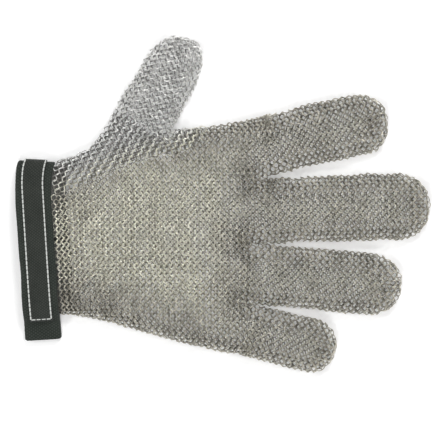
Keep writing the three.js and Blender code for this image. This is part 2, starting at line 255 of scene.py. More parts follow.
def insideOf(line, points):
    # a level ray from the point crosses the closed line an odd number of times
    x, y = line[:, 0], line[:, 1]
    nextX, nextY = np.roll(x, -1), np.roll(y, -1)
    px, py = points[:, :1], points[:, 1:]
    spans = (y[None] > py) != (nextY[None] > py)
    slope = (nextX - x) / np.where(np.abs(nextY - y) < 1e-12, 1e-12, nextY - y)
    return (spans & (px < x[None] + (py - y[None]) * slope[None])).sum(1) % 2 == 1


def edgeDistance(points):
    # signed distance inside the middle surface's outline, and the direction out of the glove
    distance, foot, normal = nearestOn(foldLine, points)
    inside = insideOf(foldLine, points)
    out = np.where(inside[:, None], foot - points, points - foot)
    flat = distance < 1e-3
    out = np.where(flat[:, None], normal, out / np.maximum(distance, 1e-3)[:, None])
    out /= np.maximum(np.linalg.norm(out, axis=1), 1e-9)[:, None]
    return np.where(inside, distance, -distance) - wrap["edge"], out


# How the flat lattice is wrapped over the glove

deep = 80.0 * np.linspace(0, 1, 1601) ** 3


def rolledOut(height, down):  # distances along the surface, what they gain on the plan, its slope
    run = np.r_[0, np.cumsum(np.hypot(np.diff(deep), np.diff(height)))]
    return run, run[-1] - deep[-1], np.arctan2(down * np.gradient(height), np.gradient(deep))


topHeight = (wrap["side"] + wrap["rise"]
             * (1 - np.clip(1 - deep / wrap["shoulder"], 0, 1) ** wrap["power"]) ** (1 / wrap["power"]))
footRadius = wrap["side"] - wrap["foot"]
footHeight = wrap["side"] - np.sqrt(np.maximum(0, footRadius ** 2
                                               - np.maximum(0, footRadius - deep) ** 2))
topRun, topSpare, topSlope = rolledOut(topHeight, 1)
footRun, footSpare, footSlope = rolledOut(footHeight, -1)


def crownHeight(x, inPlan):  # extra height of the palm's back, fading before the fingers
    return (wrap["crown"] * ramp(inPlan, wrap["crownFrom"], wrap["crownTo"])
            * (1 - ramp(x, *wrap["crownEnds"])))


def wrapped(points, axis, pitch, step, under, rowTurn, distance=None):
    # lays lattice points over the back or the underside: a point keeps its distance along the
    # surface from the folded edge, so near the edge it moves out in plan, and its height and the
    # surface's turn follow from the new distance; within half a link of the fold it lies on it
    away, out = edgeDistance(points) if distance is None else distance
    spare, run = (footSpare, footRun) if under else (topSpare, topRun)
    along = away + spare
    across = np.column_stack([-axis[:, 1], axis[:, 0]])
    reach = pitch * np.abs((out * across).sum(1)) + step * np.abs((out * axis).sum(1))
    rim = (along >= -0.1 * reach) & (along < 0.45 * reach)
    keep = (along >= 0.45 * reach) | (rim & (not under))
    inPlan = np.where(rim, 0.0, np.interp(along, run, deep))
    height = np.interp(inPlan, deep, footHeight if under else topHeight)
    if not under:
        height = height + crownHeight(points[:, 0], inPlan)
    turn = np.where(rim, np.pi / 2, np.interp(inPlan, deep, footSlope if under else topSlope))
    place = np.column_stack([points + out * (away - inPlan)[:, None], height])
    cos, sin, up = np.cos(turn), np.sin(turn), np.array([0, 0, -1.0 if under else 1.0])
    outward = np.column_stack([out, np.zeros(len(out))])
    normal = cos[:, None] * up + sin[:, None] * outward
    down = cos[:, None] * outward - sin[:, None] * up      # the way out, bent over with the mail
    flatAxis = np.column_stack([axis, np.zeros(len(axis))])
    share = (axis * out).sum(1)[:, None]
    rowWay = flatAxis - share * outward + share * down
    linkWay = np.cross(normal, rowWay)
    return {"place": place[keep], "row": rowWay[keep], "link": linkWay[keep],
            "normal": normal[keep], "pitch": pitch[keep], "turn": rowTurn[keep],
            "rim": rim[keep], "plan": points[keep], "under": np.full(keep.sum(), under),
            "near": np.zeros(keep.sum()),
            # the underside's links get extra painted shade
            "deeper": np.full(keep.sum(), links["insideShade"] * under)}


def slid(points, way, size):
    # the underside lies slid by half a repeat, so its links show in the holes of the back
    away = edgeDistance(points)[0]
    share = ramp(away, lattice["slideFrom"], lattice["slideTo"])
    return points + way * (size * share)[:, None]


# Lattice of the hand

def stepAt(u):  # the distance between rows there
    return np.interp(u, lattice["rowAt"], lattice["rowStep"])


def everyOther(rows, places):
    # the lattice's rows and places, every other one of a grid; one row leans on, the next back
    row, place = np.meshgrid(rows, places, indexing="ij")
    even = (row + place) % 2 == 0
    return row[even], place[even], np.where(row[even] % 2 == 0, 1.0, -1.0)


rowPlaces = [lattice["firstRow"]]
while rowPlaces[-1] < lattice["lastRow"]:
    rowPlaces.append(rowPlaces[-1] + float(stepAt(rowPlaces[-1])))
rowPlaces = np.array(rowPlaces)
columns = np.cumsum([0] + [f["columns"] for f in fingers.values()])      # 0, 18, 38, 56, 72
crotchOffsets = knuckleWidth / 2 - np.cumsum([0] + [f["root"] for f in fingers.values()])
crotchAt = onKnuckles(crotchOffsets)[0] + 0.8


def palmScale(u):
    return lattice["wristScale"] + (1 - lattice["wristScale"]) * ramp(u, 0, lattice["scaleRun"])


def handCentre(finger, column, pitch):
    # straight along the palm's columns, then a cubic bend onto the finger's own middle line
    start = np.array([lattice["turnFrom"], (columns[-1] / 2 - column) * pitch / 2])
    x, y, turn = fingerPath(finger, finger["offset"], np.linspace(0.10, 1.25, 60))
    end, way = np.array([x[0], y[0]]), np.array([math.cos(turn[0]), math.sin(turn[0])])
    size = np.linalg.norm(end - start)
    t = np.linspace(0, 1, 24)[:-1, None]
    bend = ((2 * t ** 3 - 3 * t ** 2 + 1) * start
            + (t ** 3 - 2 * t ** 2 + t) * size * np.array([1.0, 0])
            + (3 * t ** 2 - 2 * t ** 3) * end + (t ** 3 - t ** 2) * size * way)
    line = np.vstack([bend, np.column_stack([x, y])])
    return lattice["turnFrom"] + runOf(line), line


def handPoint(finger, first, u, column, under):
    # the middle line's point at u, moved square to it by the column's distance from its middle
    pitch = lattice["palmPitchUnder" if under else "palmPitch"]
    middle = first + finger["columns"] / 2
    run, line = handCentre(finger, middle, pitch)
    here, ahead, behind = ([np.interp(u + shift, run, line[:, k]) for k in range(2)]
                           for shift in (0, 1, -1))
    turned = u >= lattice["turnFrom"]
    x = np.where(turned, here[0], u)
    straightY = (columns[-1] / 2 - middle) * pitch / 2
    y = np.where(turned, here[1], straightY * palmScale(u))
    angle = np.where(turned, np.arctan2(ahead[1] - behind[1], ahead[0] - behind[0] + 1e-9), 0)
    spare = footSpare if under else topSpare
    own = 2 * (finger["width"] - 2 * wrap["edge"] + 2 * spare) / finger["columns"]
    local = (pitch * palmScale(u)
             + (own - pitch) * ramp(u, lattice["turnFrom"], lattice["ownFrom"]))
    side = (middle - column) * local / 2
    return np.column_stack([x - np.sin(angle) * side, y + np.cos(angle) * side]), angle, local


def wristShift(points):
    # the rows nearest the wrist lean with it and drop with it
    lean = np.radians(glove["wristLean"]) * (1 - ramp(points[:, 0], *lattice["leanRun"]))
    drop = glove["wristDrop"] * (1 - ramp(points[:, 0], *lattice["dropRun"]))
    moved = points.copy()
    moved[:, 0] -= np.tan(lean) * points[:, 1]
    moved[:, 1] -= drop
    return moved, lean


def handLinks(under):
    # the palm's links lie at a mean of the fingers' lattices, weighted by how near their columns
    # are, and past the crotches each finger keeps its own
    laid = []
    row, column, lean = everyOther(np.arange(-1, len(rowPlaces) - 1), np.arange(columns[-1] + 1))
    u = rowPlaces[row + 1]
    split = np.interp(column, columns, crotchAt)
    step = stepAt(u)

    inPalm = u <= split
    share = np.zeros((len(fingers), inPalm.sum()))
    least, most = lattice["mix"]
    narrow = least + (most - least) * ramp(split[inPalm] - u[inPalm], 0, lattice["mixRun"])
    place, angle, pitch = np.zeros((inPalm.sum(), 2)), np.zeros(inPalm.sum()), np.zeros(inPalm.sum())
    for k, finger in enumerate(fingers.values()):
        low, high = (ramp(column[inPalm], edge - narrow, edge + narrow) for edge in columns[k:k + 2])
        share[k] = (low if k else 1.0) * (1 - (high if k < len(fingers) - 1 else 0.0))
        spot, way, local = handPoint(finger, columns[k], u[inPalm], column[inPalm], under)
        place += share[k][:, None] * spot
        angle += share[k] * way
        pitch += share[k] * local
    place /= share.sum(0)[:, None]
    angle /= share.sum(0)
    pitch /= share.sum(0)
    place, tilt = wristShift(place)
    axis = np.column_stack([np.cos(angle + tilt), np.sin(angle + tilt)])
    if under:
        place = slid(place, axis, step[inPalm])
    patch = wrapped(place, axis, pitch, step[inPalm], under, lean[inPalm])
    patch["near"] = np.interp(patch["plan"][:, 0], (0, links["nearWrist"]), (1, 0))
    laid.append(("mail_palm", patch))

    for k, (name, finger) in enumerate(fingers.items()):
        mine = (u > split) & (column >= columns[k]) & (column <= columns[k + 1])
        spot, way, local = handPoint(finger, columns[k], u[mine], column[mine], under)
        axis = np.column_stack([np.cos(way), np.sin(way)])
        if under:
            spot = slid(spot, axis, step[mine])
        # the finger's own round-ended outline: half a width away from its middle line, which
        # begins in the palm and ends half a width before the tip
        cap = 1 - finger["width"] / 2 / finger["length"]
        middle = fingerPath(finger, finger["offset"], np.linspace(-0.15, cap, 41))[:2]
        away, foot = nearestOn(np.column_stack(middle), spot)[:2]
        out = (spot - foot) / np.maximum(away, 1e-6)[:, None]
        progress = np.clip((u[mine] - glove["length"]) / finger["length"], 0, 1)
        half = finger["width"] / 2 * np.interp(progress, *waist)
        distance = (half - away - wrap["edge"], out)
        laid.append((name, wrapped(spot, axis, local, step[mine], under, lean[mine], distance)))
    return laid


# Lattice of the thumb's panel

seamLine = spreadPoints(roundOff(thumb["seam"], 2), 1.0)


def seamSide(points):  # distance from the seam, positive on the thumb's side
    away, foot, normal = nearestOn(seamLine, points)
    return np.where(((points - foot) * normal).sum(1) < 0, away, -away)


def thumbShares(points):  # millimetres up the thumb from the crotch, and across it
    gap = points - crotch
    return gap @ thumbAlong, gap @ thumbAcross


def onThumb(points):
    reach = insideOf(np.vstack([foldLine, foldLine[:1]]), points)
    return (seamSide(points) > thumb["seamGap"]) & (reach | (nearestOn(foldLine, points)[0] < 6))


def tubeLinks(under):
    # rows across the thumb, as on a finger, with a column on each of its folds
    count = lattice["tubeColumns"]
    outer, inner = (share * thumb["width"] for share in thumb["sides"])
    spare = footSpare if under else topSpare
    pitchHere = 2 * (inner - outer - 2 * wrap["edge"] + 2 * spare) / count
    j, k, turn = everyOther(np.arange(-2, 40), np.arange(count + 1))
    up = thumb["tubeFrom"] + j * lattice["tubeRow"]
    side = (outer + inner) / 2 + (count / 2 - k) * pitchHere / 2
    points = crotch + np.outer(up, thumbAlong) + np.outer(side, thumbAcross)
    axis = np.tile(thumbAlong, (len(j), 1))
    step = np.full(len(j), lattice["tubeRow"])
    if under:
        points = slid(points, axis, step)
    keep = onThumb(points) & (thumbShares(points)[0] > thumb["tubeFrom"] + thumb["tubeClear"])
    return wrapped(points[keep], axis[keep], np.full(keep.sum(), pitchHere), step[keep], under,
                   turn[keep])


def baseLinks(under):
    # rows along the thumb's direction, which fan out over its base towards the wrist
    step = lattice["thumbRowUnder" if under else "thumbRow"]
    middle = thumbPlace(np.array([0.0]), np.array([thumb["baseMiddle"]]))[0]
    j, k, turn = everyOther(np.arange(-34, 40), np.arange(-52, 34))
    pitch = np.full(len(j), lattice["thumbPitch"])
    up = k * pitch / 2
    beyond = np.minimum(up + thumb["squeezeFrom"], 0)
    up = up - beyond * (1 - thumb["squeeze"])
    pitch = np.where(beyond < 0, pitch * thumb["squeeze"], pitch)
    fan = 1 + thumb["fan"] * ramp(-up, *thumb["fanRun"])
    bent = np.radians(thumb["baseTurn"]) * ramp(-up, *thumb["turnRun"])
    sideways = j * step * fan
    points = (middle + np.outer(sideways * np.cos(bent), thumbAcross)
              + np.outer(up + sideways * np.sin(bent), thumbAlong))
    if under:
        points = slid(points, np.tile(thumbAlong, (len(j), 1)), pitch / 2)
    high, across = thumbShares(points)
    keep = onThumb(points) & ((high < thumb["tubeFrom"] + thumb["baseClear"])
                              | (across > thumb["baseSide"]))
    bent = bent[keep][:, None]
    axis = np.cos(bent) * thumbAcross + np.sin(bent) * thumbAlong
    patch = wrapped(points[keep], axis, pitch[keep], step * fan[keep], under, turn[keep])
    # its base gets extra painted shade
    patch["deeper"] += thumb["baseShade"][under]
    return patch


# Webbing band sizes, in mm, also used to trim the mail at the wrist
band = {
    "width": 21.0, "wall": 2.0, "tab": 12.9, "ramp": 2.6, "sectionHeight": 12.55,
    "rampTop": 0.5, "rampRun": 4.0, "rampLift": 0.2, "domeFrom": 0.6,      # the way up from the tab
    "coarse": 1.6, "fine": 0.8,                                            # steps along the path
    "edge": 8.0, "crown": 2.8, "foldRun": 15.0, "foldShift": 1.5, "foldFlare": 1.8,
    "foldNarrow": 1.2, "foldSkew": 2.4,
    "facingDeep": 2.4, "facingWall": 0.9, "facingReach": 7.8, "facingFrom": 4.0,
}


def wristEdge(before, across):
    # the wrist's edge, or a line before it: leaning, and curved towards the fingers at the fold
    lean = math.radians(glove["wristLean"])
    share = np.clip(1 - (glove["wristWidth"] / 2 - across) / band["foldRun"], 0, 1)
    out = np.clip(before / band["width"], 0, 1)
    along = -before + (band["foldShift"] + band["foldFlare"] * (1 - out) ** 4) * share ** 2
    along = along + band["foldNarrow"] * out * share ** 9
    across = across + band["foldSkew"] * out * share ** 4
    return np.stack([-math.sin(lean) * across + math.cos(lean) * along,
                     -glove["wristDrop"] + math.cos(lean) * across + math.sin(lean) * along], -1)


def pick(patch, keep):
    return {name: values[keep] for name, values in patch.items()}


sway = {"waves": (9.0, 13.0, 17.0, 24.0, 35.0), "share": 0.009, "most": 0.16, "seed": 5}      # mm


def swayed(points):
    # loose mail never lies quite even: a sum of slow sine waves in several directions, whose
    # height is a share of their length, moves both layers alike
    luck = np.random.default_rng(sway["seed"])
    waves = np.array(sway["waves"])
    turn, start = luck.random((2, 2, len(waves))) * 2 * np.pi
    along = points[:, 0, None, None] * np.cos(turn) + points[:, 1, None, None] * np.sin(turn)
    height = np.minimum(waves * sway["share"], sway["most"])
    return points + (height * np.sin(2 * np.pi * along / waves + start)).sum(2)


def trimmed(patch, onHand=True):
    # keeps what lies past the wrist's edge, and lowers the mail to the band's height there
    plan = patch["place"][:, :2]
    lean = math.radians(glove["wristLean"])
    across = (plan[:, 1] + glove["wristDrop"]) * math.cos(lean) - plan[:, 0] * math.sin(lean)
    line = wristEdge(0.0, across)
    patch = pick(patch, plan[:, 0] - line[:, 0] > links["clear"])
    away = edgeDistance(patch["place"][:, :2])[0]
    held = away > -links["outside"]
    patch, away = pick(patch, held), away[held]
    high = wrap["wristHigh"] + (1 - wrap["wristHigh"]) * ramp(patch["place"][:, 0], 0, wrap["wristRun"])
    top = patch["place"][:, 2] > wrap["side"] + wrap["backFrom"]
    patch["place"][:, 2] = np.where(top, patch["place"][:, 2] * high, patch["place"][:, 2])
    # where the second of the material's two tones shows: near the outline, or near the thumb's seam
    gap, span = (away, glove["duller"]) if onHand else (seamSide(patch["plan"]), thumb["blend"])
    patch["tint"] = 1 - ramp(gap, *span)
    atRim = 1 - ramp(away, *links["rimZone"])
    patch["wire"] = links["wire"] + (links["wireAtRim"] - links["wire"]) * atRim
    patch["place"][:, :2] = swayed(patch["place"][:, :2])
    return patch


def joined(patches):
    names = patches[0].keys()
    return {name: np.concatenate([patch[name] for patch in patches]) for name in names}


collected = {}
for under in (False, True):
    for name, patch in handLinks(under):
        if name == "mail_palm":
            patch = pick(patch, seamSide(patch["plan"]) < -thumb["seamGap"])
        collected.setdefault(name, []).append(trimmed(patch))
    patch = joined([trimmed(tubeLinks(under), False), trimmed(baseLinks(under), False)])
    collected.setdefault("mail_thumb", []).append(patch)
collected = {name: joined(patches) for name, patches in collected.items()}
print("links", {name: len(patch["place"]) for name, patch in collected.items()},
      sum(len(patch["place"]) for patch in collected.values()))


# Materials

def newMaterial(name):
    material = bpy.data.materials.new(name)
    material.use_nodes = True
    nodes = material.node_tree.nodes
    return material, nodes, nodes["Principled BSDF"]


def setInputs(node, values):
    for key, value in values.items():
        node.inputs[key].default_value = value


def addNode(nodes, kind, values=None, **settings):
    node = nodes.new(kind)
    for key, value in settings.items():
        setattr(node, key, value)
    setInputs(node, values or {})
    return node


def connect(source, target):
    target.id_data.links.new(source, target)


def mathNode(nodes, operation, first, second=None):
    node = addNode(nodes, "ShaderNodeMath", operation=operation)
    for socket, value in zip(node.inputs, (first, second)):
        if value is None:
            continue
        if isinstance(value, (int, float)):
            socket.default_value = value
        else:
            connect(value, socket)
    return node.outputs[0]


def scaled(nodes, first, share, second):  # the first times its share, and the second the rest
    return mathNode(nodes, "ADD", mathNode(nodes, "MULTIPLY", first, share),
                    mathNode(nodes, "MULTIPLY", second, 1 - share))


def foldedSine(nodes, value):  # the sine's size, 0 at every half turn
    return mathNode(nodes, "ABSOLUTE", mathNode(nodes, "SINE", value))


def newGroup(name, inputs, output):
    # a node group that reads a vector and some numbers, and puts out one number
    group = bpy.data.node_groups.new(name, "ShaderNodeTree")
    face = group.interface
    face.new_socket("Vector", in_out="INPUT", socket_type="NodeSocketVector")
    for key, value in inputs.items():
        face.new_socket(key, in_out="INPUT", socket_type="NodeSocketFloat").default_value = value
    face.new_socket(output, in_out="OUTPUT", socket_type="NodeSocketFloat")
    nodes = group.nodes
    return group, nodes, nodes.new("NodeGroupInput"), nodes.new("NodeGroupOutput")


def mottleGroup():
    # two sizes of noise added up, as a mask round one half
    group, nodes, source, sink = newGroup(
        "mottle", {"Broad Scale": 40.0, "Fine Scale": 400.0, "Fine Share": 0.4}, "Mask")
    noises = []
    for name in ("Broad Scale", "Fine Scale"):
        noise = addNode(nodes, "ShaderNodeTexNoise", {"Detail": 3.0})
        connect(source.outputs["Vector"], noise.inputs["Vector"])
        connect(source.outputs[name], noise.inputs["Scale"])
        noises.append(noise.outputs["Fac"])
    blend = addNode(nodes, "ShaderNodeMix", data_type="FLOAT")
    connect(source.outputs["Fine Share"], blend.inputs["Factor"])
    connect(noises[0], blend.inputs["A"])
    connect(noises[1], blend.inputs["B"])
    connect(blend.outputs["Result"], sink.inputs["Mask"])
    return group


def weaveGroup():
    # ribs across the tape from one sine, threads along it from another, held apart by a checker
    group, nodes, source, sink = newGroup(
        "tapeWeave", {"Rib Pitch": 0.9, "Thread Pitch": 0.6, "Fuzz": 0.3}, "Height")
    split = nodes.new("ShaderNodeSeparateXYZ")
    connect(source.outputs["Vector"], split.inputs[0])
    rib = mathNode(nodes, "DIVIDE", split.outputs["X"], source.outputs["Rib Pitch"])
    thread = mathNode(nodes, "DIVIDE", split.outputs["Y"], source.outputs["Thread Pitch"])
    odd = mathNode(nodes, "MULTIPLY", mathNode(nodes, "FLOOR", thread), 0.5)
    rib = mathNode(nodes, "ADD", rib, odd)
    ribWave, threadWave = (
        foldedSine(nodes, mathNode(nodes, "MULTIPLY", value, math.pi))
        for value in (rib, thread))
    woven = mathNode(nodes, "MULTIPLY", ribWave,
                     mathNode(nodes, "POWER", threadWave, 0.5))
    noise = addNode(nodes, "ShaderNodeTexNoise", {"Scale": 3.0, "Detail": 4.0})
    connect(source.outputs["Vector"], noise.inputs["Vector"])
    fuzz = mathNode(nodes, "MULTIPLY", noise.outputs["Fac"], source.outputs["Fuzz"])
    connect(mathNode(nodes, "ADD", woven, fuzz), sink.inputs["Height"])
    return group


mottle = mottleGroup()
tapeWeave = weaveGroup()


def placeMottle(nodes, vector, finish):
    node = addNode(nodes, "ShaderNodeGroup", node_tree=mottle)
    setInputs(node, {"Broad Scale": finish["broad"], "Fine Scale": finish["fine"],
                     "Fine Share": finish["fineShare"]})
    connect(vector, node.inputs["Vector"])
    return node.outputs["Mask"]


def colourRamp(nodes, value, finish):  # the finish's colours at its stops
    node = addNode(nodes, "ShaderNodeValToRGB")
    while len(node.color_ramp.elements) < len(finish["stops"]):
        node.color_ramp.elements.new(0.5)
    for element, (shade, at) in zip(node.color_ramp.elements, finish["stops"].items()):
        element.position = at
        element.color = (*finish[shade], 1)
    connect(value, node.inputs["Fac"])
    return node.outputs["Color"]


def attributeFac(nodes, name):
    return addNode(nodes, "ShaderNodeAttribute", attribute_name=name).outputs["Fac"]


def bumpFrom(nodes, shader, height, finish):  # relief in metres, and the share of it to show
    bump = addNode(nodes, "ShaderNodeBump",
                   {"Strength": finish["reliefShare"], "Distance": finish["relief"]})
    connect(height, bump.inputs["Height"])
    connect(bump.outputs["Normal"], shader.inputs["Normal"])


def linkSteel(name, finish, dull):
    # each link has its own tone, duller near the outline; painted shade, with a little grime, darkens
    # deep-lying wire
    material, nodes, shader = newMaterial(name)
    spot = nodes.new("ShaderNodeTexCoord").outputs["Object"]
    mask = placeMottle(nodes, spot, finish)
    mixed = scaled(nodes, attributeFac(nodes, "tone"), finish["toneShare"], mask)
    shades = [colourRamp(nodes, mixed, kind) for kind in (finish, dull)]
    blend = addNode(nodes, "ShaderNodeMix", data_type="RGBA")
    connect(attributeFac(nodes, "tint"), blend.inputs["Factor"])
    connect(shades[0], blend.inputs["A"])
    connect(shades[1], blend.inputs["B"])
    # painted shade: the colour darkens where the wire lies deep in the mail, where shade falls
    deepShade = addNode(nodes, "ShaderNodeMix", data_type="RGBA", blend_type="MULTIPLY")
    deepShare = addNode(nodes, "ShaderNodeMapRange", interpolation_type="SMOOTHSTEP")
    setInputs(deepShare, {"From Min": finish["deepShadeFrom"], "From Max": finish["deepShadeTo"]})
    connect(attributeFac(nodes, "depth"), deepShare.inputs["Value"])
    connect(mathNode(nodes, "MULTIPLY", deepShare.outputs["Result"], finish["deepShade"]),
            deepShade.inputs["Factor"])
    connect(blend.outputs["Result"], deepShade.inputs["A"])
    setInputs(deepShade, {"B": (*finish["deepShadeColour"], 1)})
    connect(deepShade.outputs["Result"], shader.inputs["Base Color"])
    rough = mathNode(nodes, "ADD", finish["rough"],
                     mathNode(nodes, "MULTIPLY", mask, finish["roughSpread"]))
    connect(rough, shader.inputs["Roughness"])
    setInputs(shader, {"Metallic": 1.0})
    draw = addNode(nodes, "ShaderNodeTexNoise", {"Scale": finish["marks"]})    # from drawing the wire
    connect(spot, draw.inputs["Vector"])
    bumpFrom(nodes, shader, draw.outputs["Fac"], finish)
    return material


def tapeCloth(name, finish):
    # ribs and threads set the relief; the colour is darker between them and mottled by wear
    material, nodes, shader = newMaterial(name)
    cloth = addNode(nodes, "ShaderNodeUVMap", uv_map="weave").outputs["UV"]
    spot = nodes.new("ShaderNodeTexCoord").outputs["Object"]
    weave = addNode(nodes, "ShaderNodeGroup", node_tree=tapeWeave)
    setInputs(weave, {"Rib Pitch": finish["ribPitch"], "Thread Pitch": finish["threadPitch"],
                      "Fuzz": finish["fuzz"]})
    connect(cloth, weave.inputs["Vector"])
    mask = placeMottle(nodes, spot, finish)
    mixed = scaled(nodes, weave.outputs["Height"], finish["weaveShare"], mask)
    connect(colourRamp(nodes, mixed, finish), shader.inputs["Base Color"])
    setInputs(shader, {"Roughness": finish["rough"], "Specular IOR Level": finish["gloss"],
                       "Sheen Weight": finish["sheen"], "Sheen Roughness": 0.5})
    bumpFrom(nodes, shader, weave.outputs["Height"], finish)
    return material


def threadCotton(name, finish):
    # the two plies of the thread wind round it, shown as a slanting wave along each stitch
    material, nodes, shader = newMaterial(name)
    wound = addNode(nodes, "ShaderNodeUVMap", uv_map="weave").outputs["UV"]
    spot = nodes.new("ShaderNodeTexCoord").outputs["Object"]
    split = nodes.new("ShaderNodeSeparateXYZ")
    connect(wound, split.inputs[0])
    slant = mathNode(nodes, "ADD",
                     mathNode(nodes, "MULTIPLY", split.outputs["X"], finish["windings"]),
                     mathNode(nodes, "MULTIPLY", split.outputs["Y"], 2 * math.pi))
    ply = foldedSine(nodes, slant)
    mask = placeMottle(nodes, spot, finish)
    mixed = scaled(nodes, ply, finish["plyShare"], mask)
    connect(colourRamp(nodes, mixed, finish), shader.inputs["Base Color"])
    setInputs(shader, {"Roughness": finish["rough"], "Sheen Weight": finish["sheen"]})
    bumpFrom(nodes, shader, ply, finish)
    return material


steelFinish = {
    "broad": 28.0, "fine": 700.0, "fineShare": 0.55, "toneShare": 0.55, "rough": 0.22,
    "roughSpread": 0.14, "marks": 3200.0, "relief": 0.00004, "reliefShare": 0.12,
    "stops": {"dark": 0.18, "middle": 0.52, "bright": 0.85},
    "dark": (0.57, 0.55, 0.465), "middle": (0.90, 0.88, 0.755), "bright": (1.0, 0.98, 0.87),
    # painted shade, with a little grime, in the hollows of the mail
    "deepShade": 0.87, "deepShadeColour": (0.19, 0.18, 0.15), "deepShadeFrom": 0.48, "deepShadeTo": 0.86,
}
dullFinish = dict(steelFinish, dark=(0.31, 0.295, 0.25), middle=(0.525, 0.502, 0.435),
                  bright=(0.72, 0.685, 0.595))
thumbFinish = dict(steelFinish, dark=(0.54, 0.535, 0.52), middle=(0.82, 0.815, 0.795), deepShade=0.86,
                   bright=(0.97, 0.965, 0.95), deepShadeColour=(0.20, 0.195, 0.185), deepShadeFrom=0.52)
bandFinish = {
    "broad": 70.0, "fine": 420.0, "fineShare": 0.4, "weaveShare": 0.45,
    "ribPitch": 1.7, "threadPitch": 1.2, "fuzz": 0.55, "rough": 0.92, "gloss": 0.25,
    "stops": {"dark": 0.25, "middle": 0.55, "bright": 0.9},
    "dark": (0.008, 0.010, 0.008), "middle": (0.020, 0.026, 0.021), "bright": (0.045, 0.052, 0.045),
    "sheen": 0.12, "relief": 0.00022, "reliefShare": 0.6,
}
stripFinish = dict(bandFinish, ribPitch=1.6, threadPitch=1.0, broad=80.0,
                   dark=(0.009, 0.011, 0.009), middle=(0.021, 0.025, 0.021),
                   bright=(0.046, 0.050, 0.044))
# painted shade: a grey that stands partly for a lining and partly for the shade inside the wrist's
# mouth
facingShadeFinish = dict(bandFinish, dark=(0.06, 0.06, 0.055), middle=(0.13, 0.13, 0.12),
                    bright=(0.20, 0.20, 0.19))
threadFinish = {
    "broad": 90.0, "fine": 900.0, "fineShare": 0.5, "plyShare": 0.5, "windings": 5.2, "rough": 0.7,
    "dark": (0.34, 0.35, 0.335), "bright": (0.74, 0.76, 0.73), "stops": {"dark": 0.2, "bright": 0.75},
    "sheen": 0.2, "relief": 0.00012, "reliefShare": 0.7,
}
handSteel = linkSteel("handSteel", steelFinish, dullFinish)
thumbSteel = linkSteel("thumbSteel", thumbFinish, steelFinish)
bandCloth = tapeCloth("bandWebbing", bandFinish)
stripCloth = tapeCloth("stripWebbing", stripFinish)
facingShadeCloth = tapeCloth("facingShadeTape", facingShadeFinish)
stitchThread = threadCotton("stitchThread", threadFinish)
print("materials", [material.name for material in bpy.data.materials])


# Meshes

def toFrame(points):  # millimetres from the wrist to metres in the frame
    moved = np.array(points, float)
    moved[..., 0] += glove["origin"][0]
    moved[..., 1] += glove["origin"][1]
    return moved * mm


def newObject(name, data):
    made = bpy.data.objects.new(name, data)
    bpy.context.scene.collection.objects.link(made)
    return made


def makeMesh(name, points, faces, material, smooth=True):
    # points in metres, and faces of four or three corners, wound to face outwards
    mesh = bpy.data.meshes.new(name)
    count = faces.shape[1]
    mesh.vertices.add(len(points))
    mesh.vertices.foreach_set("co", points.astype(np.float32).ravel())
    mesh.loops.add(faces.size)
    mesh.loops.foreach_set("vertex_index", faces.astype(np.int32).ravel())
    mesh.polygons.add(len(faces))
    mesh.polygons.foreach_set("loop_start", np.arange(0, faces.size, count, dtype=np.int32))
    mesh.polygons.foreach_set("use_smooth", np.full(len(faces), smooth))
    mesh.update(calc_edges=True)
    mesh.materials.append(material)
    return newObject(name, mesh)


def setUv(piece, name, perLoop):
    layer = piece.data.uv_layers.new(name=name, do_init=False)
    layer.data.foreach_set("uv", np.asarray(perLoop, np.float32).ravel())


def scatter(*shape):  # random draws round zero, none beyond twice their usual size
    return chance.standard_normal(shape).clip(-2, 2)


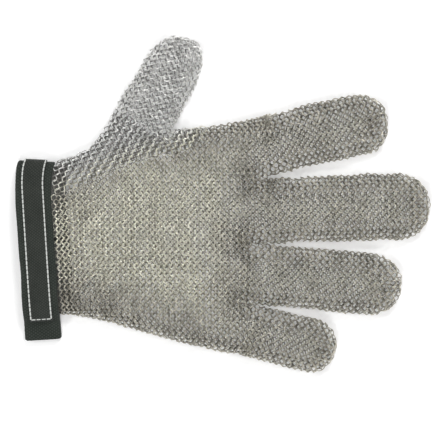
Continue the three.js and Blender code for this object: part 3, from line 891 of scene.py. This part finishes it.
def linkPiece(name, patch, material, node):
    # a circle of wire: its middle line is a circle in the plane of the link's two ways, and the
    # wire's own small circle is carried round it
    count = len(patch["place"])
    near = patch["near"][:, None]
    lean = np.radians(links["lean"] + (links["leanAtWrist"] - links["lean"]) * near)
    largest = links["largestThumb" if node == "mail_thumb" else "largest"]
    radius = np.minimum(largest, (patch["pitch"] - patch["wire"]) / 2 - links["slack"])[:, None]
    turn = patch["turn"][:, None]
    first = patch["link"]
    second = np.cos(lean) * patch["row"] + turn * np.sin(lean) * patch["normal"]
    third = np.cross(first, second)
    wobble = np.radians(links["wobble"]) * scatter(3, count, 1)
    first = first + wobble[0] * third + wobble[1] * second
    first /= np.linalg.norm(first, axis=1)[:, None]
    second = second + wobble[2] * third
    second -= (second * first).sum(1)[:, None] * first
    second /= np.linalg.norm(second, axis=1)[:, None]
    third = np.cross(first, second)
    stray = links["stray"] * (1 + links["rimStray"] * patch["rim"][:, None])
    middle = patch["place"] + stray * scatter(count, 3)

    sides, wireSides = links["sides"], links["wireSides"]
    spokeTurn = (np.arange(sides) + 0.5) * 2 * np.pi / sides
    wireTurn = np.arange(wireSides) * 2 * np.pi / wireSides
    spoke = (np.cos(spokeTurn)[None, :, None] * first[:, None]
             + np.sin(spokeTurn)[None, :, None] * second[:, None])
    wire = patch["wire"][:, None, None, None] / 2
    reach = radius[:, :, None, None] + wire * np.cos(wireTurn)[None, None, :, None]
    lift = wire * np.sin(wireTurn)[None, None, :, None] * third[:, None, None, :]
    points = middle[:, None, None, :] + reach * spoke[:, :, None, :] + lift
    # how deep each point of the wire lies, plus the extra painted shade; this sets where painted shade
    # falls
    depth = -((points - patch["place"][:, None, None]) * patch["normal"][:, None, None]).sum(-1)
    depth = np.clip(0.5 + depth / links["depthSpan"] + patch["deeper"][:, None, None], 0, 1)

    i, j = np.meshgrid(np.arange(sides), np.arange(wireSides), indexing="ij")
    nextI, nextJ = (i + 1) % sides, (j + 1) % wireSides
    quad = np.stack([i * wireSides + j, nextI * wireSides + j,
                     nextI * wireSides + nextJ, i * wireSides + nextJ], -1).reshape(-1, 4)
    faces = (quad[None] + (np.arange(count) * sides * wireSides)[:, None, None]).reshape(-1, 4)
    piece = makeMesh(name, toFrame(points.reshape(-1, 3)), faces, material)

    tone = np.repeat(chance.random(count), sides * wireSides)
    tint = np.repeat(patch["tint"], sides * wireSides)
    for key, values in (("tone", tone), ("tint", tint), ("depth", depth.ravel())):
        layer = piece.data.attributes.new(key, "FLOAT", "POINT")
        layer.data.foreach_set("value", values.astype(np.float32))

    # each link's wire is rolled out into its own cell of the square
    across = max(1, int(math.ceil(math.sqrt(count / links["cellRow"]))))
    down = int(math.ceil(count / across))
    cell = np.arange(count)
    cellX, cellY = (cell % across) / across, (cell // across) / down
    cornerI = np.stack([i, i + 1, i + 1, i], -1).reshape(-1, 4) / sides
    cornerJ = np.stack([j, j, j + 1, j + 1], -1).reshape(-1, 4) / wireSides
    sideways, upwards = links["cellMargin"]
    u = cellX[:, None, None] + (sideways + (1 - 2 * sideways) * cornerI[None]) / across
    v = cellY[:, None, None] + (upwards + (1 - 2 * upwards) * cornerJ[None]) / down
    setUv(piece, "OFBake", np.stack([u, v], -1).reshape(-1, 2))
    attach(piece, "root")
    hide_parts(node)
    return piece


for name, patch in collected.items():
    material = thumbSteel if name == "mail_thumb" else handSteel
    count = len(patch["place"])
    parts = int(math.ceil(count / links["pieceLinks"]))
    order = np.lexsort((patch["plan"][:, 0], patch["under"]))      # back first, each from the wrist on
    for number, share in enumerate(np.array_split(order, parts)):
        label = name.replace("mail_", "links_") + (f"_{number + 1}" if parts > 1 else "")
        piece = linkPiece(label, pick(patch, share), material, name)
        print(label, len(share), "links,", len(piece.data.polygons) * 2, "triangles")


# Webbing band: one tape laid round the wrist, its two ends face to face in the tab

def wristSection(steps=240):
    # the band's outside across the wrist: a superellipse, its sine and cosine raised to a power
    half, corner = glove["wristWidth"] / 2, band["edge"] / 2
    t = np.linspace(0, np.pi, steps)
    across = half * np.sign(np.cos(t)) * np.abs(np.cos(t)) ** (2 / band["crown"])
    up = corner + (band["sectionHeight"] - corner) * np.sin(t) ** (2 / band["crown"])
    return across[::-1], up[::-1]                  # from the little finger's side to the thumb's


def squareTo(path):  # unit normals of a line, to its left
    way = np.gradient(path, axis=0)
    way /= np.maximum(np.linalg.norm(way, axis=1), 1e-9)[:, None]
    return np.column_stack([-way[:, 1], way[:, 0]])


def moved(path, distance):
    return path + squareTo(path) * distance


def bandPath():
    # outer face: along the tab, up the ramp, over the dome, round the fold, back underneath
    half, corner = glove["wristWidth"] / 2, band["edge"] / 2
    across, up = wristSection()
    over = up > band["edge"] + band["domeFrom"]
    left = across < 0
    dome = np.column_stack([across, up])[over | ~left]
    rampTop = (-half + band["rampTop"], band["edge"] - band["rampTop"])
    tabTop = 2 * band["wall"]
    start = np.array([(-half - band["tab"], tabTop), (-half - band["ramp"] - band["rampRun"], tabTop),
                      (-half - band["ramp"], tabTop + band["rampLift"]), rampTop])
    t = np.linspace(0, np.pi / 2, 14)[1:]
    fold = np.column_stack([half - corner * (1 - np.cos(t)), corner * (1 - np.sin(t))])
    foot = np.array([(0.0, 0.0), (-half, 0.0), (-half - band["tab"], 0.0)])
    whole = spreadPoints(np.vstack([start, dome, fold, foot]), band["coarse"])
    return spreadPoints(roundOff(whole, 2), band["fine"])


def tapeProfile(width, wall, count=22):
    # round-edged rectangle: distance across the tape, and depth from its middle
    edge = wall / 2
    t = np.linspace(-np.pi / 2, np.pi / 2, 7)
    flat = np.linspace(edge, width - edge, count)
    top = np.column_stack([flat, np.full(count, edge)])
    right = np.column_stack([width - edge + edge * np.cos(-t), edge * np.sin(-t)])[1:-1]
    bottom = np.column_stack([flat[::-1], np.full(count, -edge)])
    left = np.column_stack([edge - edge * np.cos(t), edge * np.sin(t)])[1:-1]
    return np.vstack([top, right, bottom, left])


def tubeFaces(rings, sides):
    # a tube of rings of points, closed by fans to two more points that come after them
    i, j = np.meshgrid(np.arange(rings - 1), np.arange(sides), indexing="ij")
    a, b = (i * sides + j).ravel(), (i * sides + (j + 1) % sides).ravel()
    j = np.arange(sides)
    nextJ, last, middle = (j + 1) % sides, (rings - 1) * sides, np.full(sides, rings * sides)
    return np.vstack([np.column_stack([a, b, b + sides]), np.column_stack([a, b + sides, a + sides]),
                      np.column_stack([middle, nextJ, j]),
                      np.column_stack([middle + 1, last + j, last + nextJ])])


def tubeUv(along, girth):  # distances along the tube and round it, and its two end points
    return np.column_stack([np.r_[np.repeat(along, len(girth)), along[0], along[-1]],
                            np.r_[np.tile(girth, len(along)), 0, 0]])


tape = {"waves": (9.1, 4.3), "second": 0.6, "shift": 1.7, "rise": 0.3}      # how a tape wavers


def tapePiece(name, path, start, width, wall, material, swell=0.0, wave=0.0, corner=0.0):
    # the profile carried along the path: across the tape it follows the wrist's leaning edge,
    # and its depth is laid off square to the path; its edges waver by the sum of two sines, it
    # narrows by a quarter circle at its ends, and both are closed by a fan
    normals = squareTo(path)
    run, profile = runOf(path), tapeProfile(width, wall)
    bulge = swell * np.sin(np.pi * np.clip(profile[:, 0] / width, 0, 1)) ** 0.5
    depth = profile[:, 1] + bulge * np.sign(profile[:, 1])
    long, short = tape["waves"]
    ripple = wave * (np.sin(run / long) + tape["second"] * np.sin(run / short + tape["shift"]))
    before = width / 2 - profile[:, 0]
    toEnd = np.maximum(0, corner - np.minimum(run, run[-1] - run))
    narrow = 1 - 2 * (corner - np.sqrt(corner ** 2 - toEnd ** 2)) / width
    along, across = np.meshgrid(np.arange(len(path)), np.arange(len(profile)), indexing="ij")
    offset = depth[across] + ripple[along] * tape["rise"]
    section = path[along] + normals[along] * offset[..., None]
    spread = start + width / 2 + before[across] * narrow[along] + ripple[along]
    plan = wristEdge(spread, section[..., 0])
    points = np.concatenate([plan, section[..., 1:]], -1)
    middles = np.stack([points[0].mean(0), points[-1].mean(0)])
    faces = tubeFaces(len(path), len(profile))
    piece = makeMesh(name, toFrame(np.vstack([points.reshape(-1, 3), middles])), faces, material)
    setUv(piece, "weave", tubeUv(run, runOf(profile))[faces.ravel()])
    fixNormals(piece)
    return piece


def fixNormals(piece):
    made = bmesh.new()
    made.from_mesh(piece.data)
    bmesh.ops.recalc_face_normals(made, faces=made.faces)
    made.to_mesh(piece.data)
    made.free()


outer = bandPath()
bandPiece = tapePiece("band", moved(outer, -band["wall"] / 2), 0.3, band["width"] - 0.3,
                      band["wall"], bandCloth, wave=0.20, corner=1.1)
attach(bandPiece, "root")
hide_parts("wrist_band")

# Facing, partly lining and partly painted shade: a thinner tape inside the mail's wrist,
# a set distance in from the mail's middle surface; its grey shows through the mail's holes
deepSteps = np.r_[np.linspace(0, 1, 18) ** 2 * 16, np.arange(18, glove["wristWidth"] / 2 - 1, 2.0)]
topLine = np.column_stack([
    glove["wristWidth"] / 2 - wrap["edge"] - deepSteps,
    (np.interp(deepSteps, deep, topHeight) + crownHeight(0.0, deepSteps)) * wrap["wristHigh"]])
footLine = np.column_stack([glove["wristWidth"] / 2 - wrap["edge"] - deepSteps[:14],
                            np.interp(deepSteps[:14], deep, footHeight)])
halfLoop = np.vstack([topLine[::-1], footLine[1:]])
facingLoop = np.vstack([halfLoop, (halfLoop * [-1, 1])[::-1]])
facingLoop = moved(facingLoop, -(band["facingDeep"] - wrap["edge"] + band["facingWall"] / 2))
facingLoop = facingLoop[facingLoop[:, 1] > wrap["foot"]]
facingLoop = roundOff(spreadPoints(facingLoop, 2.2), 1)
facingAndShade = tapePiece("facingAndShade", facingLoop, -band["facingReach"],
                   band["facingReach"] + band["facingFrom"], band["facingWall"], facingShadeCloth)
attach(facingAndShade, "root")
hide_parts("wrist_band")

strip = {"width": 13.0, "wall": 0.9, "lift": 0.5, "margin": 4.4, "overrun": 1.7}
reachBack = outer[:, 0] > -glove["wristWidth"] / 2 - strip["overrun"]
beforeFold = np.arange(len(outer)) <= np.argmax(outer[:, 0]) + 1
stripRun = outer[reachBack & beforeFold]
stripPiece = tapePiece("strip", moved(stripRun, strip["lift"]), strip["margin"], strip["width"],
                       strip["wall"], stripCloth, swell=0.12, wave=0.10)
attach(stripPiece, "root")
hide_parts("closure_strip")

# Stitches: a row down each side of the strip and one across its end
stitch = {"pitch": 2.7, "length": 2.88, "thick": 0.42, "inset": 0.65, "above": 0.98, "sink": 0.16,
          "blunt": 5, "tip": 0.02, "flat": 0.8}


def seamOver(before, path):  # the seam's points, and its ways up, at a distance before the edge
    section, normals = moved(path, stitch["above"]), squareTo(path)
    plan = wristEdge(np.full(len(path), before), section[:, 0])
    lean = math.radians(glove["wristLean"])
    ups = np.column_stack([-math.sin(lean) * normals[:, 0], math.cos(lean) * normals[:, 0],
                           normals[:, 1]])
    return np.column_stack([plan, section[:, 1]]), ups


def stitchesAlong(points, ups):
    # even stitches along the seam: each takes its own short stretch of it, ends dipped into the cloth
    run = runOf(points)
    count = max(2, int(round(run[-1] / stitch["pitch"])))
    t = np.linspace(-1, 1, 9)
    at = ((np.arange(count) + 0.5) * run[-1] / count)[:, None] + t[None] * stitch["length"] / 2
    at = np.clip(at, 0, run[-1])
    line, up = (np.stack([np.interp(at, run, values[:, k]) for k in range(3)], -1)
                for values in (points, ups))
    return line - up * (stitch["sink"] * np.abs(t) ** 3)[None, :, None], up


def stitchPiece(name, line, ups):
    # each stitch is a lozenge of thread: its radius swells along it and closes at both ends
    count, rings, sides = line.shape[0], line.shape[1], 8
    t = np.linspace(-1, 1, rings)
    swell = stitch["thick"] * np.sqrt(np.maximum(0.0, 1 - np.abs(t) ** stitch["blunt"]))
    swell = swell + stitch["tip"]
    turn = np.arange(sides) * 2 * np.pi / sides
    way = np.repeat((line[:, -1] - line[:, 0])[:, None], rings, 1)
    way /= np.linalg.norm(way, axis=2, keepdims=True)
    aside = np.cross(ups, way)
    aside /= np.linalg.norm(aside, axis=2, keepdims=True)
    flat = stitch["flat"] * np.sin(turn)[None, None, :, None]
    spoke = (np.cos(turn)[None, None, :, None] * aside[:, :, None]
             + flat * np.cross(way, aside)[:, :, None])
    points = line[:, :, None] + swell[None, :, None, None] * spoke
    ends = np.stack([line[:, 0], line[:, -1]], 1)
    everything = np.concatenate([points.reshape(count, rings * sides, 3), ends], 1)
    one = tubeFaces(rings, sides)
    faces = (one[None] + (np.arange(count) * (rings * sides + 2))[:, None, None]).reshape(-1, 3)
    piece = makeMesh(name, toFrame(everything.reshape(-1, 3)), faces, stitchThread)
    uv = tubeUv(t * (stitch["length"] / 2), np.arange(sides) / sides)
    setUv(piece, "weave", np.tile(uv, (count, 1))[faces.ravel()])
    fixNormals(piece)
    return piece


sewn = stripRun[stripRun[:, 0] > stripRun[0, 0] + stitch["inset"]]
sewn = spreadPoints(sewn, 0.5)
seams = [seamOver(strip["margin"] + inset, sewn)
         for inset in (stitch["inset"], strip["width"] - stitch["inset"])]
crossSeam = spreadPoints([points[0] for points, ups in seams], 0.5)
seams.append((crossSeam, np.repeat(seams[0][1][:1], len(crossSeam), 0)))
laid = [stitchesAlong(*seam) for seam in seams]
stitches = stitchPiece("stitches", *(np.concatenate([part[k] for part in laid]) for k in range(2)))
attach(stitches, "root")
print("band, facing, strip and", sum(len(part[0]) for part in laid), "stitches")


# Floor, light and camera

stage = {"floorColour": (0.93, 0.93, 0.93), "floorReach": 3.0, "floorDrop": 0.0007,
         "glow": 0.18, "sky": 0.24}
corners = np.array([(-1, -1, 0), (1, -1, 0), (1, 1, 0), (-1, 1, 0)]) * stage["floorReach"]
paleFloor, nodes, shader = newMaterial("paleFloor")
setInputs(shader, {"Base Color": (*stage["floorColour"], 1), "Emission Color": (1, 1, 1, 1),
                   "Emission Strength": stage["glow"], "Roughness": 0.9, "Specular IOR Level": 0.1})
floor = makeMesh("floor", corners - (0, 0, stage["floorDrop"]), np.array([[0, 1, 2, 3]]),
                 paleFloor, smooth=False)

world = bpy.data.worlds.new("studio")
bpy.context.scene.world = world
world.use_nodes = True
setInputs(world.node_tree.nodes["Background"], {"Color": (1, 1, 1, 1), "Strength": stage["sky"]})

softboxes = [  # place, size, power
    ((0.25, 0.95, 1.05), 0.4, 9.2),
    ((-0.25, -0.95, 1.05), 0.4, 8.0),
    ((-1.05, 0.15, 0.95), 0.35, 5.2),
    ((1.05, -0.15, 0.95), 0.35, 4.6),
]
for number, (place, size, power) in enumerate(softboxes):
    lamp = bpy.data.lights.new(f"softbox{number + 1}", "AREA")
    lamp.shape = "SQUARE"
    lamp.size = size
    lamp.energy = power
    holder = newObject(lamp.name, lamp)
    holder.location = place
    aim = -np.array(place) / np.linalg.norm(place)
    holder.rotation_euler = (math.acos(-aim[2]), 0.0, math.atan2(aim[1], aim[0]) - math.pi / 2)

camera = {"photoWidth": 440, "millimetresPerPixel": 0.577, "lookAt": (-1.6, -6.35), "height": 1.55,
          "sensor": 36.0}
lens = bpy.data.cameras.new("camera")
lens.sensor_fit = "HORIZONTAL"
lens.sensor_width = camera["sensor"]
lens.lens = (camera["sensor"] * camera["height"]
             / (camera["photoWidth"] * camera["millimetresPerPixel"] * mm))
lens.clip_start, lens.clip_end = 0.05, 10
eye = newObject("camera", lens)
eye.location = (camera["lookAt"][0] * mm, camera["lookAt"][1] * mm, camera["height"])
eye.rotation_euler = (0, 0, 0)
bpy.context.scene.camera = eye
bpy.context.scene.view_settings.view_transform = "Standard"
print("camera, floor and lights")
